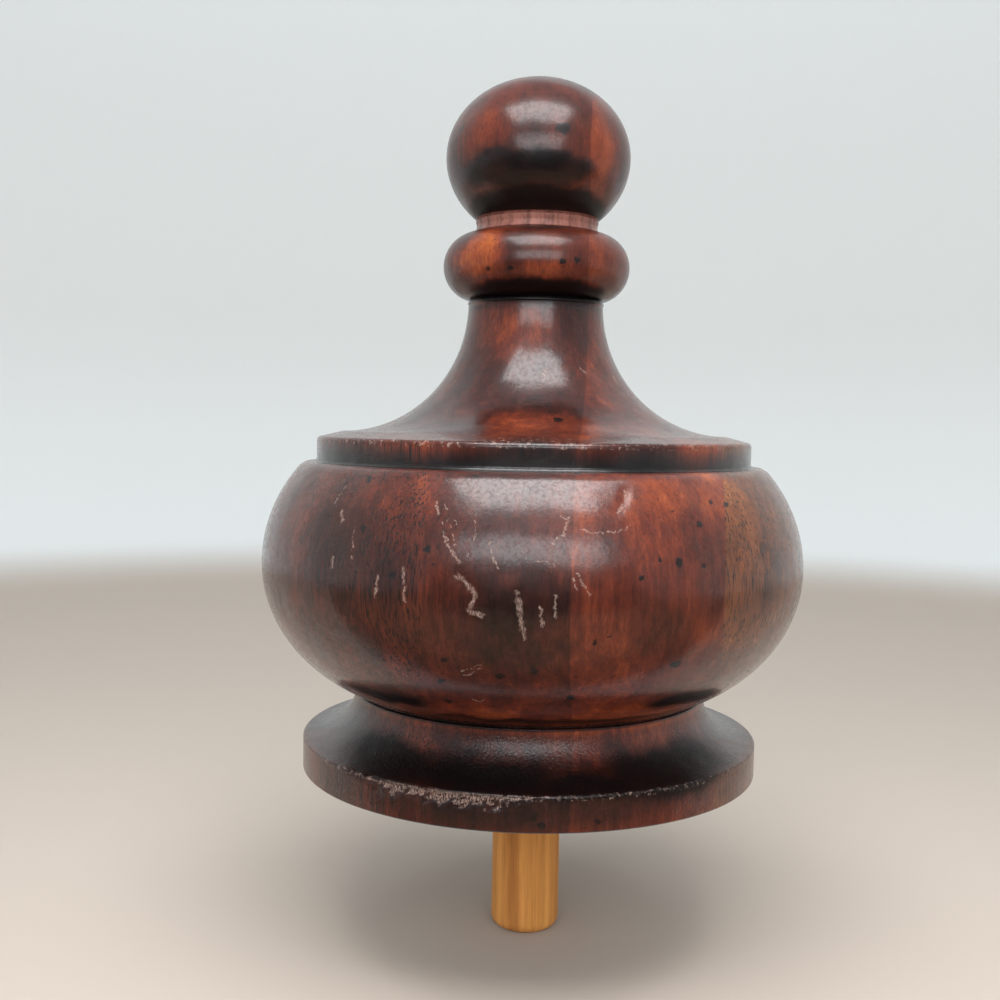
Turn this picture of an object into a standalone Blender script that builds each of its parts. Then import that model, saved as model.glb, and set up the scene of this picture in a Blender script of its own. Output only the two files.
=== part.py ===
"""A turned hardwood curtain rod finial with its mounting dowel. Metres, +Z up.

The origin is on the turning axis, in the flat underside that seats against the end of the rod.
All heights stack up from that underside, so a change to one moulding lifts those above it.
"""

import math

import bpy

MM = 0.001

# The belly, in millimetres as all sizes here: its girth, and how far its two ends draw in from it
BELLY_RADIUS = 49.5
BELLY_SWELL = 29.8
BELLY_LOWER_HEIGHT = 23.3
BELLY_UPPER_HEIGHT = 18.2
WAIST_INSET = 17.1
SHOULDER_INSET = 7.3

# The foot: a hollow that flares from the waist to a plain rim
FOOT_FLARE = 9.5
FOOT_COVE_HEIGHT = 8.0
RIM_THICKNESS = 5.9
RIM_EDGE = 0.25

# The lip on the shoulder, the ledge it leaves bare and the sloping shelf on top of it
LEDGE_WIDTH = 2.4
LIP_HEIGHT = 4.6
LIP_CORNER = 0.9
SHELF_WIDTH = 3.6
SHELF_RISE = 0.9

# The flared neck, and how far the bead, collar and ball stand out or in
NECK_RADIUS = 12.4
NECK_COVE_HEIGHT = 23.9
BEAD_PROUD = 4.7
BEAD_SWELL = 5.9
BEAD_HALF_HEIGHT = 6.1
COLLAR_INSET = 1.1
COLLAR_HEIGHT = 2.2
COLLAR_HOLLOW = 0.25
BALL_PROUD = 5.55
BALL_UPPER_HEIGHT = 14.35
BALL_LOWER_HALF_AXIS = 14.75

# Quirks, the fine grooves cut where one moulding meets the next
QUIRK_WIDTH = 0.5
QUIRK_DEPTH = 0.7

# The dowel, and the socket that takes it with room for glue all round
DOWEL_RADIUS = 6.35
DOWEL_REACH = 31.8
DOWEL_CHAMFER = 1.0
SOCKET_DEPTH = 25.0
SOCKET_MOUTH_CHAMFER = 0.6
GLUE_GAP = 0.3

# Facets around each turned piece
TURNS = 48

# Radii that follow from the sizes above
WAIST_RADIUS = BELLY_RADIUS - WAIST_INSET
RIM_RADIUS = WAIST_RADIUS + FOOT_FLARE
SHOULDER_RADIUS = BELLY_RADIUS - SHOULDER_INSET
LIP_RADIUS = SHOULDER_RADIUS - LEDGE_WIDTH
BEAD_RADIUS = NECK_RADIUS + BEAD_PROUD
COLLAR_RADIUS = NECK_RADIUS - COLLAR_INSET
BALL_RADIUS = COLLAR_RADIUS + BALL_PROUD
SOCKET_RADIUS = DOWEL_RADIUS + GLUE_GAP

MAHOGANY = (0.105, 0.022, 0.012)
PALE_WOOD = (0.43, 0.19, 0.055)


def ellipse_arc(centre, half_axes, start, end, steps):
    """Points (radius, height) along an ellipse about centre, from the start angle to the end angle."""
    points = []
    for i in range(steps + 1):
        angle = start + (end - start) * i / steps
        x, y = half_axes[0] * math.cos(angle), half_axes[1] * math.sin(angle)
        points.append((centre[0] + x, centre[1] + y))
    return points


def hollow(inner, outer, steps):
    """A quarter ellipse that leaves inner straight down and reaches outer, lower and further out, level."""
    centre = (outer[0], inner[1])
    return ellipse_arc(centre, (outer[0] - inner[0], inner[1] - outer[1]), math.pi, 1.5 * math.pi, steps)


def swell_angle(girth_radius, swell, radius):
    """The angle round a swelling, from its widest point, at which it has drawn in to radius."""
    return math.acos((radius - (girth_radius - swell)) / swell)


def swell_height(girth_radius, swell, half_axis, radius):
    """The height between a swelling's widest point and the place where it has drawn in to radius."""
    return half_axis * math.sin(swell_angle(girth_radius, swell, radius))


def quirk(radius, height):
    """The bottom and the lower edge of a groove whose upper edge is at (radius, height)."""
    return [(radius - QUIRK_DEPTH, height - QUIRK_WIDTH / 2), (radius, height - QUIRK_WIDTH)]


def ball(middle_height):
    """The flattened ball, from its pole down to the quirk over the collar."""
    lower = swell_angle(BALL_RADIUS, BALL_RADIUS, COLLAR_RADIUS)
    top_half = ellipse_arc((0, middle_height), (BALL_RADIUS, BALL_UPPER_HEIGHT), math.pi / 2, 0, 10)
    bottom_half = ellipse_arc((0, middle_height), (BALL_RADIUS, BALL_LOWER_HALF_AXIS), 0, -lower, 7)
    return top_half + bottom_half[1:]


def bead(middle_height):
    """The rounded ring between the collar and the neck."""
    above = swell_angle(BEAD_RADIUS, BEAD_SWELL, COLLAR_RADIUS)
    below = swell_angle(BEAD_RADIUS, BEAD_SWELL, NECK_RADIUS)
    return ellipse_arc(
        (BEAD_RADIUS - BEAD_SWELL, middle_height), (BEAD_SWELL, BEAD_HALF_HEIGHT), above, -below, 14
    )


def neck(top_height, shelf_height):
    """The hollow flare from the narrow neck down to the shelf of the lip."""
    shelf_radius = LIP_RADIUS - LIP_CORNER - SHELF_WIDTH
    return hollow((NECK_RADIUS, top_height), (shelf_radius, shelf_height), 14)


def lip(shoulder_height):
    """The rounded upper corner and the upright face of the lip, down to its ledge."""
    centre = (LIP_RADIUS - LIP_CORNER, shoulder_height + LIP_HEIGHT - LIP_CORNER)
    return ellipse_arc(centre, (LIP_CORNER, LIP_CORNER), math.pi / 2, 0, 3) + [(LIP_RADIUS, shoulder_height)]


def belly(shoulder_height, equator_height, foot_height):
    """The big rounded swelling, from its shoulder down to the quirk at the waist."""
    upper = swell_angle(BELLY_RADIUS, BELLY_SWELL, SHOULDER_RADIUS)
    lower = swell_angle(BELLY_RADIUS, BELLY_SWELL, WAIST_RADIUS)
    centre = (BELLY_RADIUS - BELLY_SWELL, equator_height)
    rise = (shoulder_height - equator_height) / math.sin(upper)
    fall = (equator_height - foot_height) / math.sin(lower)
    top_half = ellipse_arc(centre, (BELLY_SWELL, rise), upper, 0, 8)
    bottom_half = ellipse_arc(centre, (BELLY_SWELL, fall), 0, -lower, 10)
    return top_half + bottom_half[1:]


def foot(waist_height):
    """The hollow under the waist and the rim, down to the flat underside."""
    cove = hollow((WAIST_RADIUS, waist_height), (RIM_RADIUS - RIM_EDGE, RIM_THICKNESS), 8)
    rim = [(RIM_RADIUS, RIM_THICKNESS - RIM_EDGE), (RIM_RADIUS, RIM_EDGE), (RIM_RADIUS - RIM_EDGE, 0)]
    return cove[1:] + rim


def socket():
    """The blind hole in the underside, from its mouth up and in to the axis."""
    return [
        (SOCKET_RADIUS + SOCKET_MOUTH_CHAMFER, 0),
        (SOCKET_RADIUS, SOCKET_MOUTH_CHAMFER),
        (SOCKET_RADIUS, SOCKET_DEPTH),
        (0, SOCKET_DEPTH),
    ]


def body_profile():
    """The outline of the finial as (radius, height), from the pole of the ball down and into the socket."""
    waist = RIM_THICKNESS + FOOT_COVE_HEIGHT
    belly_foot = waist + QUIRK_WIDTH
    equator = belly_foot + BELLY_LOWER_HEIGHT
    shoulder = equator + BELLY_UPPER_HEIGHT
    shelf = shoulder + LIP_HEIGHT + SHELF_RISE
    neck_top = shelf + NECK_COVE_HEIGHT
    bead_foot = neck_top + QUIRK_WIDTH
    bead_middle = bead_foot + swell_height(BEAD_RADIUS, BEAD_SWELL, BEAD_HALF_HEIGHT, NECK_RADIUS)
    collar_foot = bead_middle + swell_height(BEAD_RADIUS, BEAD_SWELL, BEAD_HALF_HEIGHT, COLLAR_RADIUS)
    ball_foot = collar_foot + COLLAR_HEIGHT + QUIRK_WIDTH
    ball_middle = ball_foot + swell_height(BALL_RADIUS, BALL_RADIUS, BALL_LOWER_HALF_AXIS, COLLAR_RADIUS)
    collar_waist = (COLLAR_RADIUS - COLLAR_HOLLOW, collar_foot + COLLAR_HEIGHT / 2)
    return (
        ball(ball_middle)
        + quirk(COLLAR_RADIUS, ball_foot)
        + [collar_waist]
        + bead(bead_middle)
        + quirk(NECK_RADIUS, bead_foot)
        + neck(neck_top, shelf)[1:]
        + lip(shoulder)
        + belly(shoulder, equator, belly_foot)
        + quirk(WAIST_RADIUS, belly_foot)
        + foot(waist)
        + socket()
    )


def wood(name, colour, roughness):
    material = bpy.data.materials.new(name)
    material.use_nodes = True
    shader = material.node_tree.nodes["Principled BSDF"]
    shader.inputs["Base Color"].default_value = (*colour, 1)
    shader.inputs["Roughness"].default_value = roughness
    shader.inputs["Metallic"].default_value = 0
    material.diffuse_color = (*colour, 1)
    return material


def turned_piece(name, profile, collection):
    """An object that spins profile, given in millimetres, about the Z axis."""
    mesh = bpy.data.meshes.new(name)
    points = [(radius * MM, 0, height * MM) for radius, height in profile]
    mesh.from_pydata(points, [(i, i + 1) for i in range(len(points) - 1)], [])
    piece = bpy.data.objects.new(name, mesh)
    collection.objects.link(piece)
    spin = piece.modifiers.new("turning", "SCREW")
    spin.axis = "Z"
    spin.steps = TURNS
    spin.render_steps = TURNS
    spin.use_merge_vertices = True
    spin.merge_threshold = 0.00001
    spin.use_smooth_shade = True
    return piece


def dowel_pin(name, collection):
    """The pin, chamfered at both ends, from inside the socket to its free end below the foot."""
    top = SOCKET_DEPTH - GLUE_GAP
    bpy.ops.mesh.primitive_cylinder_add(
        vertices=TURNS,
        radius=DOWEL_RADIUS * MM,
        depth=(top + DOWEL_REACH) * MM,
        location=(0, 0, (top - DOWEL_REACH) / 2 * MM),
    )
    piece = bpy.context.object
    piece.name = name
    piece.data.name = name
    for holder in list(piece.users_collection):
        holder.objects.unlink(piece)
    collection.objects.link(piece)
    chamfer = piece.modifiers.new("chamfer", "BEVEL")
    chamfer.limit_method = "ANGLE"
    chamfer.angle_limit = math.radians(60)
    chamfer.width = DOWEL_CHAMFER * MM
    chamfer.segments = 2
    piece.data.shade_smooth()
    piece.data.set_sharp_from_angle(angle=math.radians(35))
    return piece


def main():
    for thing in list(bpy.data.objects):
        bpy.data.objects.remove(thing, do_unlink=True)
    finial = bpy.data.collections.new("curtain_rod_finial")
    bpy.context.scene.collection.children.link(finial)

    body = turned_piece("finial_body", body_profile(), finial)
    body.data.materials.append(wood("lacquered_mahogany", MAHOGANY, 0.25))

    pin = dowel_pin("mounting_dowel", finial)
    pin.data.materials.append(wood("pale_dowel_wood", PALE_WOOD, 0.6))


main()
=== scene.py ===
import math
import random
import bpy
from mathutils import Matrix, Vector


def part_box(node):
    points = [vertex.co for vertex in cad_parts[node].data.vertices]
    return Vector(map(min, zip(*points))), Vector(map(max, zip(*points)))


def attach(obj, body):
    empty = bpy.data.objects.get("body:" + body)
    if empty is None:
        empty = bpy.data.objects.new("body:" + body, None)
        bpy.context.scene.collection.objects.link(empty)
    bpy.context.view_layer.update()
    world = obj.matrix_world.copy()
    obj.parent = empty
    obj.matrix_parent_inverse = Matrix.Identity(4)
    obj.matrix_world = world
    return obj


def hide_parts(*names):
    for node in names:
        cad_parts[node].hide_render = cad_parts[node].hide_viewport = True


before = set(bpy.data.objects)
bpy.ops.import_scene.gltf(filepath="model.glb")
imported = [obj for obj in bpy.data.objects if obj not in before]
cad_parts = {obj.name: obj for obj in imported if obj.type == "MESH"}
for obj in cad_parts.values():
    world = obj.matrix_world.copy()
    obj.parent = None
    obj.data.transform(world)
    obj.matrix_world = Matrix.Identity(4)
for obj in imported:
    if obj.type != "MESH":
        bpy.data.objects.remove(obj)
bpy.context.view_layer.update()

from types import SimpleNamespace

import bpy
import numpy as np
from mathutils import Matrix, Vector, noise

mm = 0.001
bodyLow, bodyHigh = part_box("finial_body")
pinLow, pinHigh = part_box("mounting_dowel")
print("frame loaded:", sorted(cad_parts))


# Small helpers for node trees, shared by the Geometry Nodes and the shader trees

def fill(tree, socket, value):
    if isinstance(value, bpy.types.NodeSocket):
        tree.links.new(value, socket)
    else:
        socket.default_value = value


def fillAll(tree, node, sockets):
    for key, value in sockets.items():
        fill(tree, node.inputs[key], value)


def addNode(tree, kind, sockets=None, **settings):
    node = tree.nodes.new(kind)
    for name, value in settings.items():
        setattr(node, name, value)
    fillAll(tree, node, sockets or {})
    return node


def calc(tree, operation, *terms, clamp=False):
    return addNode(tree, "ShaderNodeMath", dict(enumerate(terms)), operation=operation,
                   use_clamp=clamp).outputs[0]


def times(tree, value, factor):
    return calc(tree, "MULTIPLY", value, factor)


def vectorCalc(tree, operation, *terms):
    node = addNode(tree, "ShaderNodeVectorMath", dict(enumerate(terms)), operation=operation)
    scalar = operation in ("LENGTH", "DISTANCE", "DOT_PRODUCT")
    return node.outputs["Value" if scalar else "Vector"]


def scaled(tree, vector, factor):
    return addNode(tree, "ShaderNodeVectorMath", {0: vector, "Scale": factor}, operation="SCALE").outputs[0]


def remap(tree, value, fromLow, fromHigh, toLow=0.0, toHigh=1.0, smooth=True):
    node = addNode(tree, "ShaderNodeMapRange", {0: value, 1: fromLow, 2: fromHigh, 3: toLow, 4: toHigh})
    node.interpolation_type = "SMOOTHSTEP" if smooth else "LINEAR"
    return node.outputs[0]


def noiseAt(tree, place, scale, detail=2.0, roughness=0.5, output="Fac"):
    node = addNode(tree, "ShaderNodeTexNoise", {"Vector": place, "Scale": scale, "Detail": detail,
                                                "Roughness": roughness})
    return node.outputs[output]


def total(tree, values):
    result = values[0]
    for value in values[1:]:
        result = calc(tree, "ADD", result, value)
    return result


def grain(tree, place, values):
    across, along, detail, roughness = values
    stretched = vectorCalc(tree, "MULTIPLY", place, (across, across, along))
    return noiseAt(tree, stretched, 1.0, detail, roughness)


def centred(tree, value, amount):
    return times(tree, calc(tree, "SUBTRACT", value, 0.5), amount)


def strayed(tree, place, scale, reach):
    # the place, moved about a little, so that a mark's edge is ragged
    stray = vectorCalc(tree, "SUBTRACT", noiseAt(tree, place, scale, 1.0, 0.6, "Color"), (0.5, 0.5, 0.5))
    return vectorCalc(tree, "ADD", place, scaled(tree, stray, reach))


def namedAttribute(tree, name):
    return addNode(tree, "GeometryNodeInputNamedAttribute", {"Name": name}, data_type="FLOAT").outputs[0]


def newTree(name, kind, inputs, output=("Inside", "Float")):
    tree = bpy.data.node_groups.new(name, kind + "NodeTree")
    for socket, socketKind in inputs:
        tree.interface.new_socket(socket, in_out="INPUT", socket_type="NodeSocket" + socketKind)
    tree.interface.new_socket(output[0], in_out="OUTPUT", socket_type="NodeSocket" + output[1])
    return tree, addNode(tree, "NodeGroupInput").outputs, addNode(tree, "NodeGroupOutput").inputs[0]


def newMaterial(name):
    material = bpy.data.materials.new(name)
    material.use_nodes = True
    return material, material.node_tree, material.node_tree.nodes["Principled BSDF"]


def objectPlace(tree):
    return addNode(tree, "ShaderNodeTexCoord").outputs["Object"]


def addObject(name, data):
    piece = bpy.data.objects.new(name, data)
    bpy.context.scene.collection.objects.link(piece)
    return piece


# The camera stands where the photograph was taken from, a hand's breadth off the belly

cameraView = dict(
    place=(0.0, -223.0, 63.4),     # mm
    lens=43.06,
    pitch=3.71, yaw=-1.54, roll=0.96,   # degrees: looks down, to the left, leans
    imageSize=1000, sensor=36.0,        # pixels, mm
    nearest=0.01,                       # metres
)


def addCamera(view):
    pitch, yaw, roll = (math.radians(view[k]) for k in ("pitch", "yaw", "roll"))
    level = Vector((math.sin(yaw), math.cos(yaw), 0))
    right = Vector((math.cos(yaw), -math.sin(yaw), 0))
    upright = Vector((0, 0, 1))
    forward = level * math.cos(pitch) - upright * math.sin(pitch)
    up = upright * math.cos(pitch) + level * math.sin(pitch)
    leanRight = right * math.cos(roll) + up * math.sin(roll)
    leanUp = up * math.cos(roll) - right * math.sin(roll)
    data = bpy.data.cameras.new("photoCamera")
    data.lens = view["lens"]
    data.sensor_width = view["sensor"]
    data.clip_start = view["nearest"]
    camera = addObject("photoCamera", data)
    turn = Matrix((leanRight, leanUp, -forward)).transposed().to_4x4()
    camera.matrix_world = Matrix.Translation(Vector(view["place"]) * mm) @ turn
    bpy.context.scene.camera = camera
    return camera


camera = addCamera(cameraView)
focal = cameraView["lens"] / cameraView["sensor"] * cameraView["imageSize"]     # in pixels
print("camera placed")


# The turned outline, in millimetres above the underside

turning = dict(
    bellyRadius=bodyHigh.x / mm, bellySwell=29.8, bellyLower=23.3, bellyUpper=18.2,
    waistInset=17.1, shoulderInset=7.3, shoulderRound=0.5, shoulderDrop=0.03,
    footFlare=9.5, footCove=8.0, rimThickness=5.9, rimEdge=0.25,
    ledge=2.4, lipHeight=4.6, lipCorner=0.9, lipFootCove=0.75, ledgeGroove=0.3, grooveWidth=0.42,
    shelfWidth=3.6, shelfRise=0.9,
    neckRadius=12.4, neckCove=23.9, neckFillet=0.35, neckStep=0.15, neckEase=0.455,
    beadProud=4.7, beadSwell=5.9, beadHalf=6.1,
    collarInset=1.1, collarHeight=2.2, collarHollow=0.25, collarFillet=0.4,
    filletPoints=[(-0.05, 0.55), (0.12, 0.30), (0.10, 0.12), (-0.30, 0.0)],   # out and up from its foot
    ballProud=5.55, ballUpper=14.35, ballLower=14.75,
    quirkWidth=0.5, quirkDepth=0.7,
    socketRadius=pinHigh.x / mm + 0.3, socketDepth=pinHigh.z / mm + 0.3, socketChamfer=0.6,
    edgeRound=0.16, edgeRing=0.35, rimMiddleShare=0.35, chipReach=3.0, chippedRings=9, undersideRings=12,
    spacing=0.85, fineSpacing=0.51, finestSpacing=0.255, turns=276, frontCrowding=0.38, seed=11,
)


def ovalArc(centre, halfAxes, start, end, spacing):
    reach = abs(end - start) * (halfAxes[0] + halfAxes[1]) / 2
    steps = max(3, round(reach / spacing))
    points = []
    for i in range(steps + 1):
        angle = start + (end - start) * i / steps
        points.append((centre[0] + halfAxes[0] * math.cos(angle), centre[1] + halfAxes[1] * math.sin(angle)))
    return points


def swellAngle(girth, swell, radius):
    return math.acos((radius - (girth - swell)) / swell)


def finialOutline(sizes):
    # gives the points from the ball's pole down into the socket, the rim's radius and the lip's height
    s = SimpleNamespace(**sizes)
    quarter = math.pi / 2
    waistRadius = s.bellyRadius - s.waistInset
    rimRadius = waistRadius + s.footFlare
    shoulderRadius = s.bellyRadius - s.shoulderInset
    lipRadius = shoulderRadius - s.ledge
    neckRadius = s.neckRadius
    beadRadius = neckRadius + s.beadProud
    collarRadius = neckRadius - s.collarInset
    ballRadius = collarRadius + s.ballProud

    waist = s.rimThickness + s.footCove
    bellyFoot = waist + s.quirkWidth
    equator = bellyFoot + s.bellyLower
    shoulder = equator + s.bellyUpper
    lipTop = shoulder + s.lipHeight
    shelf = lipTop + s.shelfRise
    neckTop = shelf + s.neckCove
    beadFoot = neckTop + s.quirkWidth
    beadBelow = swellAngle(beadRadius, s.beadSwell, neckRadius)
    beadAbove = swellAngle(beadRadius, s.beadSwell, collarRadius)
    beadMiddle = beadFoot + s.beadHalf * math.sin(beadBelow)
    collarFoot = beadMiddle + s.beadHalf * math.sin(beadAbove)
    ballFoot = collarFoot + s.collarHeight + s.quirkWidth
    ballBelow = swellAngle(ballRadius, ballRadius, collarRadius)
    ballMiddle = ballFoot + s.ballLower * math.sin(ballBelow)

    outline = ovalArc((0, ballMiddle), (ballRadius, s.ballUpper), quarter, 0, s.spacing)
    outline += ovalArc((0, ballMiddle), (ballRadius, s.ballLower), 0, -ballBelow, s.spacing)[1:]
    outline += [(collarRadius - s.quirkDepth, ballFoot - s.quirkWidth / 2)]
    collarTop = ballFoot - s.quirkWidth
    filletTop = collarFoot + s.collarFillet
    outline += [(collarRadius, collarTop)]
    outline += [(collarRadius - s.collarHollow, (collarTop + filletTop) / 2)]
    outline += [(collarRadius + out, collarFoot + up) for out, up in s.filletPoints]
    outline += ovalArc((beadRadius - s.beadSwell, beadMiddle), (s.beadSwell, s.beadHalf),
                       beadAbove, -beadBelow, s.fineSpacing)
    outline += [(neckRadius - s.quirkDepth, beadFoot - s.quirkWidth / 2)]
    stepRadius = neckRadius + s.neckStep
    outline += [(stepRadius, neckTop), (stepRadius, neckTop - s.neckFillet)]
    shelfRadius = lipRadius - s.lipCorner - s.shelfWidth
    flareStart = math.pi + math.asin(s.neckEase / s.neckCove)
    outline += ovalArc((shelfRadius, neckTop), (shelfRadius - neckRadius, s.neckCove),
                       flareStart, 1.5 * math.pi, s.spacing)
    cornerCentre = (lipRadius - s.lipCorner, lipTop - s.lipCorner)
    outline += ovalArc(cornerCentre, (s.lipCorner, s.lipCorner), quarter, 0, s.finestSpacing)
    outline += [(lipRadius, lipTop - s.lipCorner - s.edgeRing)]
    coveCentre = (lipRadius + s.lipFootCove, shoulder + s.lipFootCove)
    outline += ovalArc(coveCentre, (s.lipFootCove, s.lipFootCove), math.pi, 1.5 * math.pi, s.finestSpacing)
    grooveAt = shoulderRadius - s.shoulderRound - s.ledgeGroove
    outline += [(grooveAt - s.grooveWidth, shoulder), (grooveAt, shoulder - s.ledgeGroove)]
    bellyAbove = swellAngle(s.bellyRadius, s.bellySwell, shoulderRadius)
    bellyBelow = swellAngle(s.bellyRadius, s.bellySwell, waistRadius)
    bellyCentre = (s.bellyRadius - s.bellySwell, equator)
    rise = (shoulder - equator) / math.sin(bellyAbove)
    fall = (equator - bellyFoot) / math.sin(bellyBelow)
    outline += [(shoulderRadius - s.shoulderRound, shoulder - s.shoulderDrop)]
    outline += ovalArc(bellyCentre, (s.bellySwell, rise), bellyAbove, 0, s.spacing)[1:]
    outline += ovalArc(bellyCentre, (s.bellySwell, fall), 0, -bellyBelow, s.spacing)[1:]
    outline += [(waistRadius - s.quirkDepth, bellyFoot - s.quirkWidth / 2)]
    coveFoot = (rimRadius - s.rimEdge, s.rimThickness)
    outline += ovalArc((coveFoot[0], waist), (coveFoot[0] - waistRadius, waist - coveFoot[1]),
                       math.pi, 1.5 * math.pi, s.fineSpacing)
    rings = s.chippedRings
    rimTop = s.rimThickness - s.rimEdge
    outline += [(rimRadius, rimTop - s.chipReach * i / rings) for i in range(rings + 1)]
    outline += [(rimRadius, s.rimThickness * s.rimMiddleShare), (rimRadius, s.rimEdge + s.edgeRing)]
    outline += [(rimRadius, s.rimEdge), (rimRadius - s.rimEdge, 0)]
    mouth = s.socketRadius + s.socketChamfer
    rings = s.undersideRings
    outline += [(rimRadius + (mouth - rimRadius) * i / rings, 0) for i in range(1, rings)]
    outline += [(mouth, 0), (s.socketRadius, s.socketChamfer)]
    outline += [(s.socketRadius, s.socketDepth), (0, s.socketDepth)]
    return outline, rimRadius, lipTop


def roundCorners(outline, radius, least=math.radians(24), most=0.45, steps=4):
    # each corner that bends by least or more gets a curve that takes up at most that share of its two sides
    softened = [outline[0]]
    for before, corner, after in zip(outline, outline[1:], outline[2:]):
        a, c, b = Vector(before), Vector(corner), Vector(after)
        bend = (c - a).angle(b - c)
        if bend < least:
            softened.append(corner)
            continue
        cut = min(radius * math.tan(bend / 2), (c - a).length * most, (b - c).length * most)
        start = c + (a - c).normalized() * cut
        end = c + (b - c).normalized() * cut
        for i in range(steps + 1):
            t = i / steps
            softened.append(tuple((1 - t) ** 2 * start + 2 * t * (1 - t) * c + t ** 2 * end))
    softened.append(outline[-1])
    return softened


def bendAt(outline, reach):
    bends = []    # how sharply the outline turns within reach of each point: outward corners are positive
    for i, point in enumerate(outline):
        ahead, behind = min(i, len(outline) - 2), max(i, 1)
        while ahead < len(outline) - 2 and math.dist(outline[ahead], point) < reach:
            ahead += 1
        while behind > 1 and math.dist(outline[behind], point) < reach:
            behind -= 1
        into = Vector(outline[behind]) - Vector(outline[behind - 1])
        out = Vector(outline[ahead + 1]) - Vector(outline[ahead])
        bends.append(into.angle_signed(out) if into.length and out.length else 0)
    return bends


def profileMesh(name, outline, weights):
    mesh = bpy.data.meshes.new(name)
    points = [(radius * mm, 0, height * mm) for radius, height in outline]
    mesh.from_pydata(points, [(i, i + 1) for i in range(len(points) - 1)], [])
    for weightName, values in weights.items():
        attribute = mesh.attributes.new(weightName, "FLOAT", "POINT")
        attribute.data.foreach_set("value", values)
    return addObject(name, mesh)


chips = dict(      # where the rim's edge is broken away
    wornSide=(-0.33, -0.944, 0.0), sideReach=(0.88, 0.98), sideChance=(0.06, 0.42), edgeChance=0.32,
    grain=(1.5, 0.55, 3.0, 0.75), threshold=(1.00, 1.17), fadeOut=0.15, depth=0.42,    # depth in mm
    seedShift=(17.3, 5.1, 9.7),
)


def latheTree(c):
    tree, given, made = newTree("turnOnTheLathe", "Geometry", (
        ("Outline", "Geometry"), ("Turns", "Int"), ("Front crowding", "Float"), ("Chip depth", "Float"),
        ("Worn side", "Vector"), ("Ripple depth", "Float"), ("Ripple scale", "Vector"), ("Seed", "Int"),
        ("Finish", "Material")), ("Turned piece", "Geometry"))
    domains = addNode(tree, "GeometryNodeAttributeDomainSize", {"Geometry": given["Outline"]})
    count = domains.outputs["Point Count"]
    turns = given["Turns"]
    grid = addNode(tree, "GeometryNodeMeshGrid", {"Vertices X": calc(tree, "ADD", turns, 1),
                                                  "Vertices Y": count})
    index = addNode(tree, "GeometryNodeInputIndex").outputs[0]
    ring = calc(tree, "MODULO", index, count)
    share = calc(tree, "DIVIDE", calc(tree, "FLOOR", calc(tree, "DIVIDE", index, count)), turns)
    evenAngle = times(tree, share, math.tau)
    crowded = times(tree, calc(tree, "SINE", evenAngle), given["Front crowding"])
    angle = calc(tree, "ADD", evenAngle, crowded)

    def outlineValue(field, kind):
        pick = addNode(tree, "GeometryNodeSampleIndex", {"Geometry": given["Outline"], "Value": field,
                                                         "Index": ring}, data_type=kind, domain="POINT")
        return pick.outputs[0]

    def then(shape, kind, sockets=None, **settings):
        sockets = {"Geometry": shape, **(sockets or {})}
        return addNode(tree, "GeometryNode" + kind, sockets, **settings).outputs[0]

    def keep(shape, name, value):
        return then(shape, "StoreNamedAttribute", {"Name": name, "Value": value}, data_type="FLOAT",
                    domain="POINT")

    place = outlineValue(addNode(tree, "GeometryNodeInputPosition").outputs[0], "FLOAT_VECTOR")
    parts = addNode(tree, "ShaderNodeSeparateXYZ", {0: place}).outputs
    onLathe = addNode(tree, "ShaderNodeCombineXYZ", {
        0: times(tree, parts[0], calc(tree, "SINE", angle)),
        1: times(tree, parts[0], calc(tree, "COSINE", angle)),
        2: parts[2]}).outputs[0]
    shape = then(grid.outputs["Mesh"], "SetPosition", {"Position": onLathe})
    for weightName in ("glaze", "wear", "chipping"):
        shape = keep(shape, weightName, outlineValue(namedAttribute(tree, weightName), "FLOAT"))
    shape = then(shape, "MergeByDistance", {"Distance": 1e-6})

    here = addNode(tree, "GeometryNodeInputPosition").outputs[0]
    facing = addNode(tree, "GeometryNodeInputNormal").outputs[0]
    inMm = scaled(tree, here, 1 / mm)
    shifted = vectorCalc(tree, "ADD", inMm, scaled(tree, c["seedShift"], given["Seed"]))
    flat = vectorCalc(tree, "NORMALIZE", vectorCalc(tree, "MULTIPLY", inMm, (1, 1, 0)))
    side = remap(tree, vectorCalc(tree, "DOT_PRODUCT", flat, given["Worn side"]),
                 *c["sideReach"], *c["sideChance"])
    broken = grain(tree, shifted, c["grain"])
    chipWeight = namedAttribute(tree, "chipping")
    chance = total(tree, [broken, side, times(tree, chipWeight, c["edgeChance"])])
    chipMask = times(tree, remap(tree, chance, *c["threshold"]), remap(tree, chipWeight, 0.0, c["fadeOut"]))
    chip = times(tree, chipMask, given["Chip depth"])
    ripple = noiseAt(tree, vectorCalc(tree, "MULTIPLY", shifted, given["Ripple scale"]), 1.0, 2.0)
    sway = times(tree, calc(tree, "SUBTRACT", ripple, 1.0), given["Ripple depth"])
    shift = times(tree, calc(tree, "SUBTRACT", sway, chip), mm)
    shape = keep(then(shape, "SetPosition", {"Offset": scaled(tree, facing, shift)}), "chipped", chipMask)
    shape = then(then(shape, "SetShadeSmooth"), "RealizeInstances")
    shape = then(shape, "SetMaterial", {"Material": given["Finish"]})
    tree.links.new(shape, made)
    return tree


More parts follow.
